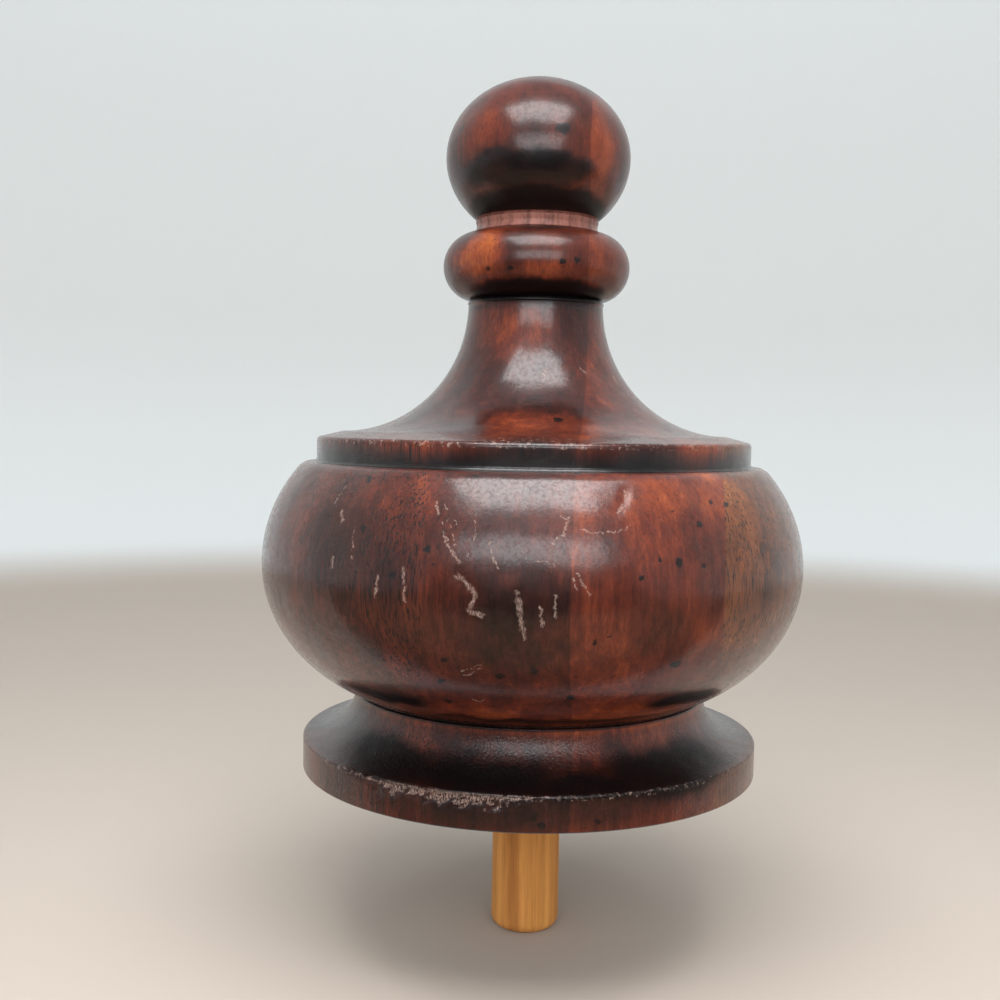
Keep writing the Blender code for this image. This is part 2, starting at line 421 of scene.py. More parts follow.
def turnPiece(name, outline, weights, lathe, values):
    blank = profileMesh(name + "Outline", outline, weights)
    modifier = blank.modifiers.new("lathe", "NODES")
    modifier.node_group = lathe
    for item in lathe.interface.items_tree:
        if item.in_out == "INPUT" and item.name in values:
            modifier[item.identifier] = values[item.name]
    evaluated = blank.evaluated_get(bpy.context.evaluated_depsgraph_get())
    mesh = bpy.data.meshes.new_from_object(evaluated)
    blank.modifiers.remove(modifier)
    bpy.data.objects.remove(blank)
    mesh.name = name
    if mesh.polygons and meshVolume(mesh) < 0:
        mesh.flip_normals()
    piece = addObject(name, mesh)
    print(name, "turned:", len(mesh.polygons), "faces, volume", round(meshVolume(mesh) * 1e6, 1), "cm3")
    return piece


def meshVolume(mesh):
    mesh.calc_loop_triangles()
    volume = 0.0
    for triangle in mesh.loop_triangles:
        a, b, c = (mesh.vertices[i].co for i in triangle.vertices)
        volume += a.dot(b.cross(c)) / 6
    return volume


lathe = latheTree(chips)
sharpOutline, rimOut, lipTop = finialOutline(turning)
rimTop = turning["rimThickness"]
finialPoints = roundCorners(sharpOutline, turning["edgeRound"])
print("outline points:", len(finialPoints), "top", max(height for radius, height in finialPoints))

wear = dict(bendReach=0.5, lipSpan=1.0, rimSpan=0.6, rimDepth=1.0, chipDepth=0.7, chipRise=0.1)   # mm
glaze = dict(bendReach=0.8, fullBend=1.2)    # mm, and radians of inward bend that hold all the glaze they can


def wornAt(radius, height):
    # the arrises that get rubbed: the lip's upper corner and the rim's upper edge
    onRim = radius > rimOut - wear["rimDepth"] and abs(height - rimTop) < wear["rimSpan"]
    return abs(height - lipTop) < wear["lipSpan"] or onRim


def chippingAt(radius, height):
    below = max(0.0, rimTop - turning["rimEdge"] - height) / turning["chipReach"]
    onRim = radius > rimOut - wear["chipDepth"] and height < rimTop + wear["chipRise"]
    return max(0.0, 1.0 - below) if onRim else 0.0


wearBends = bendAt(finialPoints, wear["bendReach"])
glazeBends = bendAt(finialPoints, glaze["bendReach"])
finialWeights = dict(
    glaze=[min(1.0, max(0.0, -bend) / glaze["fullBend"]) for bend in glazeBends],
    wear=[min(1.0, max(0.0, bend)) * wornAt(*point) for bend, point in zip(wearBends, finialPoints)],
    chipping=[chippingAt(*point) for point in finialPoints],
)
finial = turnPiece("finial", finialPoints, finialWeights, lathe, {
    "Turns": turning["turns"], "Front crowding": turning["frontCrowding"], "Chip depth": chips["depth"],
    "Worn side": chips["wornSide"], "Ripple depth": 0.0, "Ripple scale": (0.1, 0.1, 0.1),
    "Seed": turning["seed"]})


# Marks are named by where the photograph shows them, and carried onto the wood along the camera's own rays

def onWood(x, y):
    half = cameraView["imageSize"] / 2
    start = camera.matrix_world.translation
    ray = camera.matrix_world.to_3x3() @ Vector(((x - half) / focal, (half - y) / focal, -1))
    hit, place, facing, face = finial.ray_cast(start, ray.normalized())
    if not hit:
        raise ValueError(f"no wood at photo pixel {x}, {y}")
    return place / mm, (place - start).length / mm / focal      # mm, and mm per pixel there


def softPatchTree():
    tree, given, inside = newTree("softPatch", "Shader", (
        ("Place", "Vector"), ("Centre", "Vector"), ("Reach", "Vector"), ("Edge", "Float")))
    away = vectorCalc(tree, "SUBTRACT", given["Place"], given["Centre"])
    spread = vectorCalc(tree, "LENGTH", vectorCalc(tree, "DIVIDE", away, given["Reach"]))
    outer, inner = (calc(tree, operation, 1.0, given["Edge"]) for operation in ("ADD", "SUBTRACT"))
    tree.links.new(remap(tree, spread, outer, inner), inside)
    return tree


def scratchTree():
    tree, given, inside = newTree("scratchLine", "Shader", (
        ("Place", "Vector"), ("Start", "Vector"), ("Along", "Vector"), ("Half width", "Float")))
    away = vectorCalc(tree, "SUBTRACT", given["Place"], given["Start"])
    reach = calc(tree, "DIVIDE", vectorCalc(tree, "DOT_PRODUCT", away, given["Along"]),
                 vectorCalc(tree, "DOT_PRODUCT", given["Along"], given["Along"]), clamp=True)
    gap = vectorCalc(tree, "DISTANCE", away, scaled(tree, given["Along"], reach))
    near = calc(tree, "SUBTRACT", 1.0, calc(tree, "DIVIDE", gap, given["Half width"]), clamp=True)
    tree.links.new(near, inside)
    return tree


def grouped(tree, group, sockets):
    return addNode(tree, "ShaderNodeGroup", sockets, node_tree=group).outputs[0]


def stepRamp(tree, value, stops, constant=False):
    ramp = addNode(tree, "ShaderNodeValToRGB", {0: value})
    ramp.color_ramp.interpolation = "CONSTANT" if constant else "LINEAR"
    elements = ramp.color_ramp.elements
    while len(elements) > 1:
        elements.remove(elements[0])
    for i, (position, colour) in enumerate(stops):
        element = elements[0] if i == 0 else elements.new(position)
        element.position = position
        element.color = (*colour, 1)
    return ramp.outputs[0]


def mixed(tree, share, under, over):
    node = addNode(tree, "ShaderNodeMix", data_type="RGBA")
    for socket, value in zip([s for s in node.inputs if s.enabled], (share, under, over)):
        fill(tree, socket, (*value, 1) if isinstance(value, tuple) else value)
    return next(s for s in node.outputs if s.enabled)


def strongest(tree, values):
    result = 0.0    # values may be a generator: each value is then used up before the next one is made
    for value in values:
        result = calc(tree, "MAXIMUM", result, value)
    return result


stain = dict(
    tones=[(0.0, (0.0035, 0.0014, 0.0012)), (0.20, (0.0140, 0.0034, 0.0023)), (0.40, (0.042, 0.0080, 0.0042)),
           (0.60, (0.100, 0.0170, 0.0072)), (0.80, (0.215, 0.0400, 0.0110)), (1.0, (0.38, 0.100, 0.020))],
    yellowTones=[(0.0, (0.004, 0.0016, 0.001)), (0.35, (0.042, 0.0105, 0.0036)),
                 (0.65, (0.170, 0.048, 0.011)), (1.0, (0.38, 0.140, 0.030))],
    boardTurn=-5.0, boardSpan=100.0,       # degrees between the boards' faces and the X axis, and mm in all
    boards=[(-60.0, 0.02, 0.6, 0.1), (-35.0, -0.03, 1.0, 0.05), (-12.4, -0.07, 0.35, 0.0),
            (9.9, 0.06, 0.25, 0.0), (33.0, 0.06, 1.0, 0.85)],   # lower face, tone, open grain, yellowness
    middleTone=0.485, blotchAmount=0.80, streakAmount=0.42, fineAmount=0.22, glazeAmount=-0.45,
    wanderScales=(0.22, 0.8), wanderFine=0.4, wanderSeed=4,
    wanderReach=3.6, wanderShare=0.55,     # how far a patch's edge strays, in mm and as a share of its size
    shadeWander=0.7,
)

grains = dict(     # how fine across and along the grain, in 1/mm, then the noise's detail and roughness
    blotch=(0.11, 0.075, 5.0, 0.62), streak=(0.9, 0.05, 3.0, 0.6), fine=(3.2, 0.6, 2.0, 0.7),
    pores=(3.0, 0.17, 2.0, 0.7), poreArea=(0.14, 0.07, 1.0, 0.5), ticks=(5.0, 2.2, 1.0, 0.5),
    hatch=(7.0, 1.5, 2.0, 0.7), rub=(1.5, 1.5, 3.0, 0.75),
)

darkMarksAndShade = dict(  # the noise that each mark shows at, from none to full, and how dark it gets, the painted shade's blackness included
    poreEdge=(0.53, 0.60), poreAreaEdge=(0.26, 0.42), poreDepth=0.85, tickEdge=(0.69, 0.75), tickDepth=0.55,
    stray=(1.1, 1.2), dotScale=0.42, dotShare=0.72, dotSize=0.14, dotDepth=0.8, speckDepth=0.93,
    shadeDepth=0.97, colour=(0.0040, 0.0026, 0.0026),
)

paleMarks = dict(  # bare wood where the finish is scratched, worn or chipped
    stray=(1.3, 1.1), scratchEdge=(0.0, 0.9), scratchHatch=(0.30, 0.64), scratchDepth=0.66,
    wearEdge=(0.15, 0.7), wearRub=(0.54, 0.66), wearDepth=0.45,
    chipEdge=(0.25, 0.8), chipHatch=(0.42, 0.62), chipDepth=0.70,
    # the last two values here are a painted sheen: a pale pinkish colour, broken by the streak, that lights
    # the collar where the ball shades it
    colour=(0.42, 0.29, 0.24), paintedSheenColour=(0.62, 0.25, 0.19), paintedSheenStreak=(0.34, 0.62, 0.45, 1.0),
)

gloss = dict(
    roughness=0.34, rubRoughness=0.10, paleRoughness=0.4, mottle=(0.30, 0.62, 0.55, 1.08),
    shadeDulls=-0.9, paleDulls=-0.8, specular=0.2, coatIndex=1.5,
    peelScale=1.9, slowScale=0.16, slowDepth=0.20,     # the lacquer's fine and slow unevenness
)

# most patches are stain blotches; ballFront, ballLow, collarBand, bellyDarkMiddle, bellyUnder, coveMiddle and
# coveFace paint reflections or light into the tone
patches = dict(    # photo x, y, half width, half height in pixels, edge softness, tone
    ballUpperLeft=(484, 128, 24, 32, 0.8, 0.20),
    ballTop=(540, 88, 60, 12, 0.7, 0.05),
    ballRight=(603, 150, 14, 34, 0.45, 0.18),
    # ballFront: a painted dark reflection across the ball's front; ballLow: a painted lighter reflection just
    # below it
    ballFront=(526, 167, 66, 16, 0.25, -0.36),
    ballLow=(539, 184, 60, 7, 0.6, 0.12),
    # collarBand: painted light, the collar made lighter where the ball shades it
    collarBand=(540, 216, 90, 8, 0.2, 0.40),
    beadLeft=(478, 256, 26, 22, 0.6, 0.40),
    beadCentre=(537, 268, 26, 9, 0.7, 0.22),
    beadRight=(604, 262, 24, 18, 0.7, 0.06),
    neckUpper=(515, 322, 38, 26, 0.7, 0.28),
    neckLow=(545, 428, 62, 18, 0.25, 0.22),
    bellyStripe=(428, 492, 12, 34, 0.6, 0.16),
    bellyRightTop=(692, 492, 52, 22, 0.7, 0.18),
    bellyRightHigh=(600, 520, 60, 14, 0.7, 0.06),
    # bellyDarkMiddle: a painted dark reflection across the belly's front
    bellyDarkMiddle=(522, 602, 44, 40, 0.5, -0.20),
    bellyLeft=(340, 560, 60, 74, 0.6, -0.06),
    bellyOrangeSpot=(507, 580, 10, 10, 0.6, 0.22),
    bellyBoardRight=(590, 590, 24, 60, 0.6, 0.10),
    # bellyUnder: a painted warm reflection of the floor on the belly's underside
    bellyUnder=(500, 684, 180, 22, 0.6, 0.06),
    lipDark=(600, 456, 120, 14, 0.6, -0.22),
    lipLeft=(430, 453, 60, 10, 0.6, 0.22),
    # coveMiddle: a painted dark reflection of the belly's underside in the cove; coveFace: a painted reddish
    # reflection of the belly in its upper part
    coveMiddle=(540, 770, 90, 30, 0.5, -0.10),
    coveFace=(540, 726, 300, 30, 0.5, 0.24),
    coveRedLeft=(492, 716, 30, 12, 0.6, 0.14),
    coveRedRight=(655, 716, 30, 12, 0.6, 0.14),
    lipStreaks=(700, 456, 40, 10, 0.6, 0.22),
    rimFace=(540, 808, 200, 18, 0.5, -0.17),
)

# painted shade and dark reflections: black patches with the coat dulled, under the ball and the bead, at the
# waist's two ends and in the cove's hollows; ballSpot is a painted dark reflection on the ball's front
paintedShades = dict(     # photo x, y, half width, half height in pixels, edge softness: black, and dull
    ballUnder=(539, 208, 78, 21, 0.16),
    ballSpot=(548, 158, 16, 9, 0.5),
    beadUnder=(537, 291, 72, 12, 0.14),
    waistLeft=(385, 696, 46, 9, 0.3),
    waistRight=(684, 699, 44, 9, 0.3),
    waistMiddle=(560, 722, 150, 5, 0.6),
    coveLeft=(390, 758, 56, 17, 0.4),
    coveLow=(470, 776, 90, 9, 0.5),
    coveRight=(668, 770, 72, 18, 0.4),
    coveRightLow=(600, 786, 70, 8, 0.5),
)

specks = dict(     # photo x, y, half width, half height in pixels
    rightLarge=(679, 562, 5, 4), rightLow=(676, 664, 6, 4), middleRight=(641, 578, 4, 3),
    edgeOne=(726, 504, 3, 3), edgeTwo=(711, 502, 2.5, 2.5), edgeThree=(699, 524, 3, 2.5),
    edgeFour=(704, 565, 2, 2), centreLow=(595, 643, 3, 2.5), footOne=(571, 698, 4, 3),
    footTwo=(534, 670, 3, 4), underLip=(578, 473, 4, 2),
    small=(660, 560, 2, 2), leftLow=(441, 681, 5, 3.5), leftLower=(501, 676, 5, 3), leftHigh=(444, 660, 3, 2),
    leftFoot=(449, 701, 4, 3), farLeft=(369, 479, 4, 4), topLeft=(475, 476, 4, 2), leftGrain=(392, 575, 3, 4),
    leftMiddle=(426, 549, 4, 3), leftCross=(363, 529, 3, 5), ball=(563, 128, 7, 6), neck=(558, 420, 5, 3),
    rimOne=(534, 818, 3, 4), rimTwo=(541, 825, 4, 3.5), rimThree=(598, 822, 3, 3),
    beadOne=(562, 262, 3, 3), beadTwo=(488, 268, 3, 3), beadThree=(510, 268, 3, 2), beadFour=(577, 260, 3, 3),
)

scratches = dict(  # width in millimetres, then the photo pixels that the line runs through
    zed=(0.62, (456, 576), (464, 580), (475, 596), (468, 611), (482, 616)),
    scuffTall=(0.66, (517, 593), (520, 612), (524, 638)),
    scuffShort=(0.45, (540, 607), (542, 626)),
    scuffRight=(0.40, (555, 595), (555, 618)),
    pairLeft=(0.35, (436, 502), (447, 544), (460, 563)),
    pairRight=(0.28, (445, 505), (455, 545)),
    upright=(0.30, (489, 542), (496, 567)),
    thinUpright=(0.18, (475, 515), (475, 540)),
    farUpright=(0.25, (354, 529), (352, 559)),
    farSlant=(0.22, (345, 487), (333, 506)),
    greyOne=(0.45, (378, 576), (375, 597)),
    greyTwo=(0.40, (403, 567), (405, 601)),
    nick=(0.55, (341, 512), (342, 520)),
    edgeNick=(0.45, (332, 557), (332, 567)),
    starDown=(0.30, (569, 515), (563, 535), (553, 544)),
    starAcross=(0.25, (561, 516), (569, 523)),
    wavy=(0.22, (580, 530), (593, 533), (618, 532), (630, 526)),
    crescent=(0.50, (626, 492), (624, 503), (618, 513)),
    cross=(0.28, (578, 574), (590, 595)),
    crossTwo=(0.25, (573, 578), (578, 590)),
    neckTick=(0.30, (545, 369), (543, 381)),
    neckTickTwo=(0.28, (580, 368), (586, 373)),
    neckTickThree=(0.30, (613, 376), (618, 386)),
    lipOne=(0.35, (428, 442), (438, 438)), lipTwo=(0.35, (443, 438), (448, 444)),
    lipThree=(0.40, (500, 447), (504, 440)), lipFour=(0.35, (520, 445), (525, 439)),
    lipFive=(0.30, (590, 445), (606, 442)), lipSix=(0.35, (690, 446), (700, 442)),
    lowPair=(0.25, (462, 672), (480, 664)), lowPairTwo=(0.22, (464, 676), (482, 668)),
    lowOval=(0.25, (473, 700), (480, 702), (484, 699)),
    fineOne=(0.15, (455, 520), (470, 560)), fineTwo=(0.15, (520, 545), (528, 560)),
    fineThree=(0.15, (536, 560), (556, 566)),
)

gouges = dict(darkGouge=(0.35, (506, 654), (520, 660), (534, 666)))

scuffs = dict(count=24, seed=5, turns=(82.0, 278.0), heights=(18.0, 50.0), lean=2.5, lengths=(-6.0, 6.0),
              widths=(0.15, 0.42))     # on the sides and the back: degrees from the front, then millimetres

dents = dict(crescent=0.16, zed=0.12, scuffTall=0.12, scuffShort=0.08, nick=0.12, edgeNick=0.10,
             darkGouge=0.16)     # how deep, in mm
dentFloor, dentSlope = 0.4, 0.7    # the floor's half width as a share of the mark's width, and mm from it up

placing = dict(patchDepth=1.6, speckLeast=3, speckDepth=2, speckEdge=0.3, lineWidth=0.9, spare=1.5)


def smoothed(values, low, high):
    share = np.clip((values - low) / (high - low), 0.0, 1.0)
    return share * share * (3 - 2 * share)


def insidePatch(places, x, y, halfWidth, halfHeight, edge):
    centre, scale = onWood(x, y)
    reach = np.array((halfWidth * scale, halfWidth * scale * placing["patchDepth"], halfHeight * scale))
    spread = np.linalg.norm((places - np.array(centre)) / reach, axis=1)
    return 1.0 - smoothed(spread, 1.0 - edge, 1.0 + edge)


def vertexPlaces(piece):
    coords = np.empty(len(piece.data.vertices) * 3)
    piece.data.vertices.foreach_get("co", coords)
    return coords.reshape(-1, 3) / mm


def paintStainsAndShade(piece):
    # the broad patches, stain blotches and painted reflections, and the painted shade are kept on the
    # vertices; their ragged edges come from a wandering place
    places = vertexPlaces(piece)
    coarse, fine = stain["wanderScales"]
    noise.seed_set(stain["wanderSeed"])    # unseeded, noise vectors differ from run to run
    wander = np.array([noise.noise_vector(Vector(p) * coarse)
                       + noise.noise_vector(Vector(p) * fine) * stain["wanderFine"] for p in places])
    tone = np.zeros(len(places))
    for x, y, halfWidth, halfHeight, edge, shift in patches.values():
        least = min(halfWidth, halfHeight) * onWood(x, y)[1]
        reach = min(stain["wanderReach"], least * stain["wanderShare"])
        tone += insidePatch(places + wander * reach, x, y, halfWidth, halfHeight, edge) * shift
    # the painted shade: the strongest black patch at each vertex
    shade = np.zeros(len(places))
    for values in paintedShades.values():
        shade = np.maximum(shade, insidePatch(places + wander * stain["shadeWander"], *values))
    for name, values in (("stainAndPaintedLightTone", tone), ("shade", shade)):
        piece.data.attributes.new(name, "FLOAT", "POINT").data.foreach_set("value", values)


def dentMarks(piece):
    # the deepest marks are pressed into the wood itself
    places = vertexPlaces(piece)
    shift = np.zeros(len(places))
    for name, depth in dents.items():
        width, *path = {**scratches, **gouges}[name]
        points = [np.array(onWood(x, y)[0]) for x, y in path]
        for start, end in zip(points, points[1:]):
            along = end - start
            share = np.clip((places - start) @ along / (along @ along), 0.0, 1.0)
            gap = np.linalg.norm(places - start - share[:, None] * along, axis=1)
            floor = width * dentFloor
            shift = np.maximum(shift, depth * (1.0 - smoothed(gap, floor, floor + dentSlope)))
    for index in np.nonzero(shift)[0]:
        vertex = piece.data.vertices[int(index)]
        vertex.co -= vertex.normal * float(shift[index]) * mm


def onSide(turn, height):
    outward = Vector((math.sin(turn), -math.cos(turn), 0))
    start = (outward * turning["bellyRadius"] * 2 + Vector((0, 0, height))) * mm
    hit, place, facing, face = finial.ray_cast(start, -outward)
    return place / mm


def placeLines(marks):
    placed = []
    for width, *path in marks.values():
        points = [onWood(x, y)[0] for x, y in path]
        placed += [(width, start, end) for start, end in zip(points, points[1:])]
    return placed


def placeSpecks(marks):
    placed = []
    for x, y, halfWidth, halfHeight in marks.values():
        centre, scale = onWood(x, y)
        depth = max(halfWidth, placing["speckLeast"]) * scale * placing["speckDepth"]
        placed.append((centre, (halfWidth * scale, depth, halfHeight * scale)))
    return placed


def scatterScuffs(s):
    draw = random.Random(s["seed"])
    scuffs = []
    for i in range(s["count"]):
        turn = math.radians(draw.uniform(*s["turns"]))
        height = draw.uniform(*s["heights"])
        lean = draw.uniform(-s["lean"], s["lean"]) / turning["bellyRadius"]
        rise = draw.uniform(*s["lengths"])
        scuffs.append((draw.uniform(*s["widths"]), onSide(turn, height), onSide(turn + lean, height + rise)))
    return scuffs


def reaches(zone, spare, *places):
    # whether any of the places is in the zone, or within spare of it
    return any(all(low - spare < value < high + spare for value, (low, high) in zip(place, zone))
               for place in places)


def lines(tree, place, marks, zone):
    for width, start, end in marks:
        if reaches(zone, placing["spare"], start, (start + end) / 2, end):
            yield grouped(tree, scratchLine, {"Place": place, "Start": start, "Along": end - start,
                                              "Half width": width * placing["lineWidth"]})


def spots(tree, place, marks, zone):
    for centre, reach in marks:
        if reaches(zone, placing["spare"], centre):
            yield grouped(tree, softPatch, {"Place": place, "Centre": centre, "Reach": reach,
                                            "Edge": placing["speckEdge"]})


def stored(tree, attribute):
    return addNode(tree, "ShaderNodeAttribute", attribute_name=attribute).outputs["Fac"]


def boardValues(tree, place, s):
    # the board that a place is in: its tone, how open its grain is, and how yellow it is
    turn = math.radians(s["boardTurn"])
    across = vectorCalc(tree, "DOT_PRODUCT", place, (math.cos(turn), math.sin(turn), 0))
    share = calc(tree, "MULTIPLY_ADD", across, 1 / s["boardSpan"], 0.5)
    stops = [(max(0.0, low / s["boardSpan"] + 0.5), (0.5 + tone, openness, yellow))
             for low, tone, openness, yellow in s["boards"]]
    parts = addNode(tree, "ShaderNodeSeparateColor", {0: stepRamp(tree, share, stops, True)}).outputs
    return calc(tree, "SUBTRACT", parts[0], 0.5), parts[1], parts[2]


def stainAndPaintedLightColour(tree, place, s, boardTone, yellow, streak, streaks):
    tone = total(tree, [
        # the stored tone holds the stain patches together with the painted reflections and light
        boardTone, s["middleTone"], stored(tree, "stainAndPaintedLightTone"),
        centred(tree, grain(tree, place, grains["blotch"]), s["blotchAmount"]),
        centred(tree, streak, s["streakAmount"] * streaks),
        centred(tree, grain(tree, place, grains["fine"]), s["fineAmount"]),
        times(tree, stored(tree, "glaze"), s["glazeAmount"])])
    return mixed(tree, yellow, stepRamp(tree, tone, s["tones"]), stepRamp(tree, tone, s["yellowTones"]))


def darkness(tree, place, d, openness, shade, zone):
    pores = remap(tree, grain(tree, place, grains["pores"]), *d["poreEdge"])
    poreArea = remap(tree, grain(tree, place, grains["poreArea"]), *d["poreAreaEdge"])
    poreMask = times(tree, pores, times(tree, openness, poreArea))
    tickMask = remap(tree, grain(tree, place, grains["ticks"]), *d["tickEdge"])
    ragged = strayed(tree, place, *d["stray"])
    cells = addNode(tree, "ShaderNodeTexVoronoi", {"Vector": ragged, "Scale": d["dotScale"],
                                                   "Randomness": 1.0})
    lot = addNode(tree, "ShaderNodeSeparateColor", {0: cells.outputs["Color"]}).outputs[0]
    dotSize = remap(tree, lot, d["dotShare"], 1.0, 0.0, d["dotSize"], False)
    dotMask = calc(tree, "LESS_THAN", cells.outputs["Distance"], dotSize)
    speckMask = strongest(tree, spots(tree, ragged, placed["specks"], zone))
    gougeMask = strongest(tree, lines(tree, ragged, placed["gouges"], zone))
    speckMask = calc(tree, "MAXIMUM", speckMask, gougeMask)
    # the painted shade joins the real pores, ticks, dots, specks and gouges here
    return strongest(tree, [times(tree, mask, d[depth]) for mask, depth in (
        (poreMask, "poreDepth"), (tickMask, "tickDepth"), (dotMask, "dotDepth"), (speckMask, "speckDepth"),
        (shade, "shadeDepth"))])


def paleness(tree, place, p, rub, zone):
    hatch = grain(tree, place, grains["hatch"])
    scratch = strongest(tree, lines(tree, strayed(tree, place, *p["stray"]), placed["scratches"], zone))
    pairs = ((scratch, p["scratchEdge"], hatch, p["scratchHatch"], p["scratchDepth"]),
             (stored(tree, "wear"), p["wearEdge"], rub, p["wearRub"], p["wearDepth"]),
             (stored(tree, "chipped"), p["chipEdge"], hatch, p["chipHatch"], p["chipDepth"]))
    return strongest(tree, [
        times(tree, times(tree, remap(tree, mark, *markEdge), remap(tree, breaker, *breakerEdge)), depth)
        for mark, markEdge, breaker, breakerEdge, depth in pairs])


def setLacquer(tree, shader, g, place, rub, shade, pale, lacquer):
    rough = total(tree, [g["roughness"], times(tree, rub, g["rubRoughness"]),
                         times(tree, pale, g["paleRoughness"])])
    coat = times(tree, lacquer["coat"], remap(tree, rub, *g["mottle"]))
    # the coat is dulled in the painted shade, so the black patches show no reflection
    coat = times(tree, coat, calc(tree, "MULTIPLY_ADD", shade, g["shadeDulls"], 1.0))
    coat = times(tree, coat, calc(tree, "MULTIPLY_ADD", pale, g["paleDulls"], 1.0))
    peel = times(tree, noiseAt(tree, place, g["peelScale"], 3.0, 0.7), lacquer["peel"])
    slow = times(tree, noiseAt(tree, place, g["slowScale"], 1.0, 0.5), g["slowDepth"])
    bump = addNode(tree, "ShaderNodeBump", {"Height": calc(tree, "ADD", peel, slow), "Distance": mm,
                                            "Strength": 1.0}).outputs[0]
    fillAll(tree, shader, {"Roughness": rough, "Specular IOR Level": g["specular"], "Coat Weight": coat,
                           "Coat Roughness": lacquer["blur"], "Coat IOR": g["coatIndex"],
                           "Normal": bump, "Coat Normal": bump})


def lacqueredWood(name, s, zone, lacquer):
    material, tree, shader = newMaterial("lacqueredWood_" + name)
    place = scaled(tree, objectPlace(tree), 1 / mm)
    boardTone, openness, yellow = boardValues(tree, place, s)
    streak = grain(tree, place, grains["streak"])
    rub = grain(tree, place, grains["rub"])
    shade = stored(tree, "shade")
    dark = darkness(tree, place, darkMarksAndShade, openness, shade, zone)
    pale = paleness(tree, place, paleMarks, rub, zone)
    # painted sheen: a pale pinkish colour over the collar, standing in for light that the ball's shadow keeps
    # off it
    paintedSheen = times(tree, lacquer["paintedSheen"], remap(tree, streak, *paleMarks["paintedSheenStreak"]))
    colour = stainAndPaintedLightColour(tree, place, s, boardTone, yellow, streak, lacquer["streaks"])
    # the dark marks and the painted shade go into the base colour
    colour = mixed(tree, dark, colour, darkMarksAndShade["colour"])
    colour = mixed(tree, paintedSheen, colour, paleMarks["paintedSheenColour"])
    colour = mixed(tree, pale, colour, paleMarks["colour"])
    tree.links.new(colour, shader.inputs["Base Color"])
    setLacquer(tree, shader, gloss, place, rub, shade, pale, lacquer)
    return material


softPatch = softPatchTree()
scratchLine = scratchTree()

everywhere = (-60.0, 60.0)
forward = (-60.0, -8.0)

sides = (("Left", (-60.0, -16.0)), ("Middle", (-16.0, 3.0)), ("Right", (3.0, 60.0)))
bands = (("shoulder", (42.0, 55.9)), ("belly", (30.0, 42.0)))

zones = dict(      # across, front to back, and up, in mm: each stretch of the finish holds its own marks
    ball=(everywhere, everywhere, (100.6, 130.0)), collar=(everywhere, everywhere, (97.8, 100.6)),
    bead=(everywhere, everywhere, (85.3, 97.8)), neck=(everywhere, everywhere, (55.9, 85.3)),
    **{band + side: (across, forward, up) for band, up in bands for side, across in sides},
    underBelly=(everywhere, forward, (14.1, 30.0)), bellyBack=(everywhere, (-8.0, 60.0), (14.1, 55.9)),
    foot=(everywhere, everywhere, (-1.0, 14.1)),
)

plainLacquer = dict(coat=1.0, blur=0.20, peel=0.015, streaks=1.0, paintedSheen=0.0)

lacquers = dict(   # where the finish is thinner, rougher or plainer than on the belly, or carries the painted sheen
    ball=dict(coat=0.68, peel=0.020, streaks=0.45),
    # the collar's share of the painted sheen is set here
    collar=dict(coat=0.7, blur=0.30, peel=0.02, streaks=0.5, paintedSheen=0.5),
    bead=dict(coat=0.55, blur=0.19, streaks=0.6),
    neck=dict(coat=0.85, blur=0.17),
    foot=dict(coat=0.8, blur=0.15, peel=0.095),
)


def finishBody(piece, s):
    piece.data.materials.clear()
    for name, zone in zones.items():
        lacquer = {**plainLacquer, **lacquers.get(name, {})}
        piece.data.materials.append(lacqueredWood(name, s, zone, lacquer))
    for face in piece.data.polygons:
        face.material_index = next(i for i, zone in enumerate(zones.values())
                                   if reaches(zone, 0.0001, face.center / mm))


placed = dict(specks=placeSpecks(specks), gouges=placeLines(gouges),
              scratches=placeLines(scratches) + scatterScuffs(scuffs))
dentMarks(finial)
paintStainsAndShade(finial)
finishBody(finial, stain)
print("lacquered wood made")


def pinOutline(s):
    top = s["top"] - s["round"]
    tip = s["tip"] + s["tipRound"]
    outline = [(0, s["top"]), (s["radius"] * 0.5, s["top"])]
    outline += ovalArc((s["radius"] - s["round"], top), (s["round"], s["round"]), math.pi / 2, 0,
                       s["topSpacing"])
    steps = round((top - tip) / s["spacing"])
    outline += [(s["radius"], top + (tip - top) * i / steps) for i in range(1, steps)]
    outline += ovalArc((s["radius"] - s["tipRound"], tip), (s["tipRound"], s["tipRound"]),
                       0, -math.pi / 2, s["tipSpacing"])
    outline += [(s["radius"] * share, s["tip"]) for share in (0.6, 0.4, 0.2, 0)]
    return outline


pinSizes = dict(radius=pinHigh.x / mm, top=pinHigh.z / mm, tip=pinLow.z / mm, round=1.0, tipRound=2.0,
                spacing=0.9, topSpacing=0.4, tipSpacing=0.25, ripple=0.05, rippleScale=(0.9, 0.9, 0.03),
                turns=120, seed=3)

pinWood = dict(
    tones=[(0.0, (0.22, 0.070, 0.014)), (0.35, (0.55, 0.210, 0.043)), (0.6, (0.80, 0.36, 0.085)),
           (1.0, (0.92, 0.55, 0.18))],
    bands=(0.55, 0.012, 3.0, 0.6), threads=(4.0, 0.10, 3.0, 0.7),    # grains, as the lacquered wood's are
    middleTone=0.50, bandAmount=0.6, threadAmount=0.40, threadRelief=0.12, roughness=0.75,
    stripe=(-2.2, 1.6, 0.3), stripeTone=-0.24,       # the darker stripe's place, half width and core, in mm
    bendScale=0.12, bendReach=1.5,
)


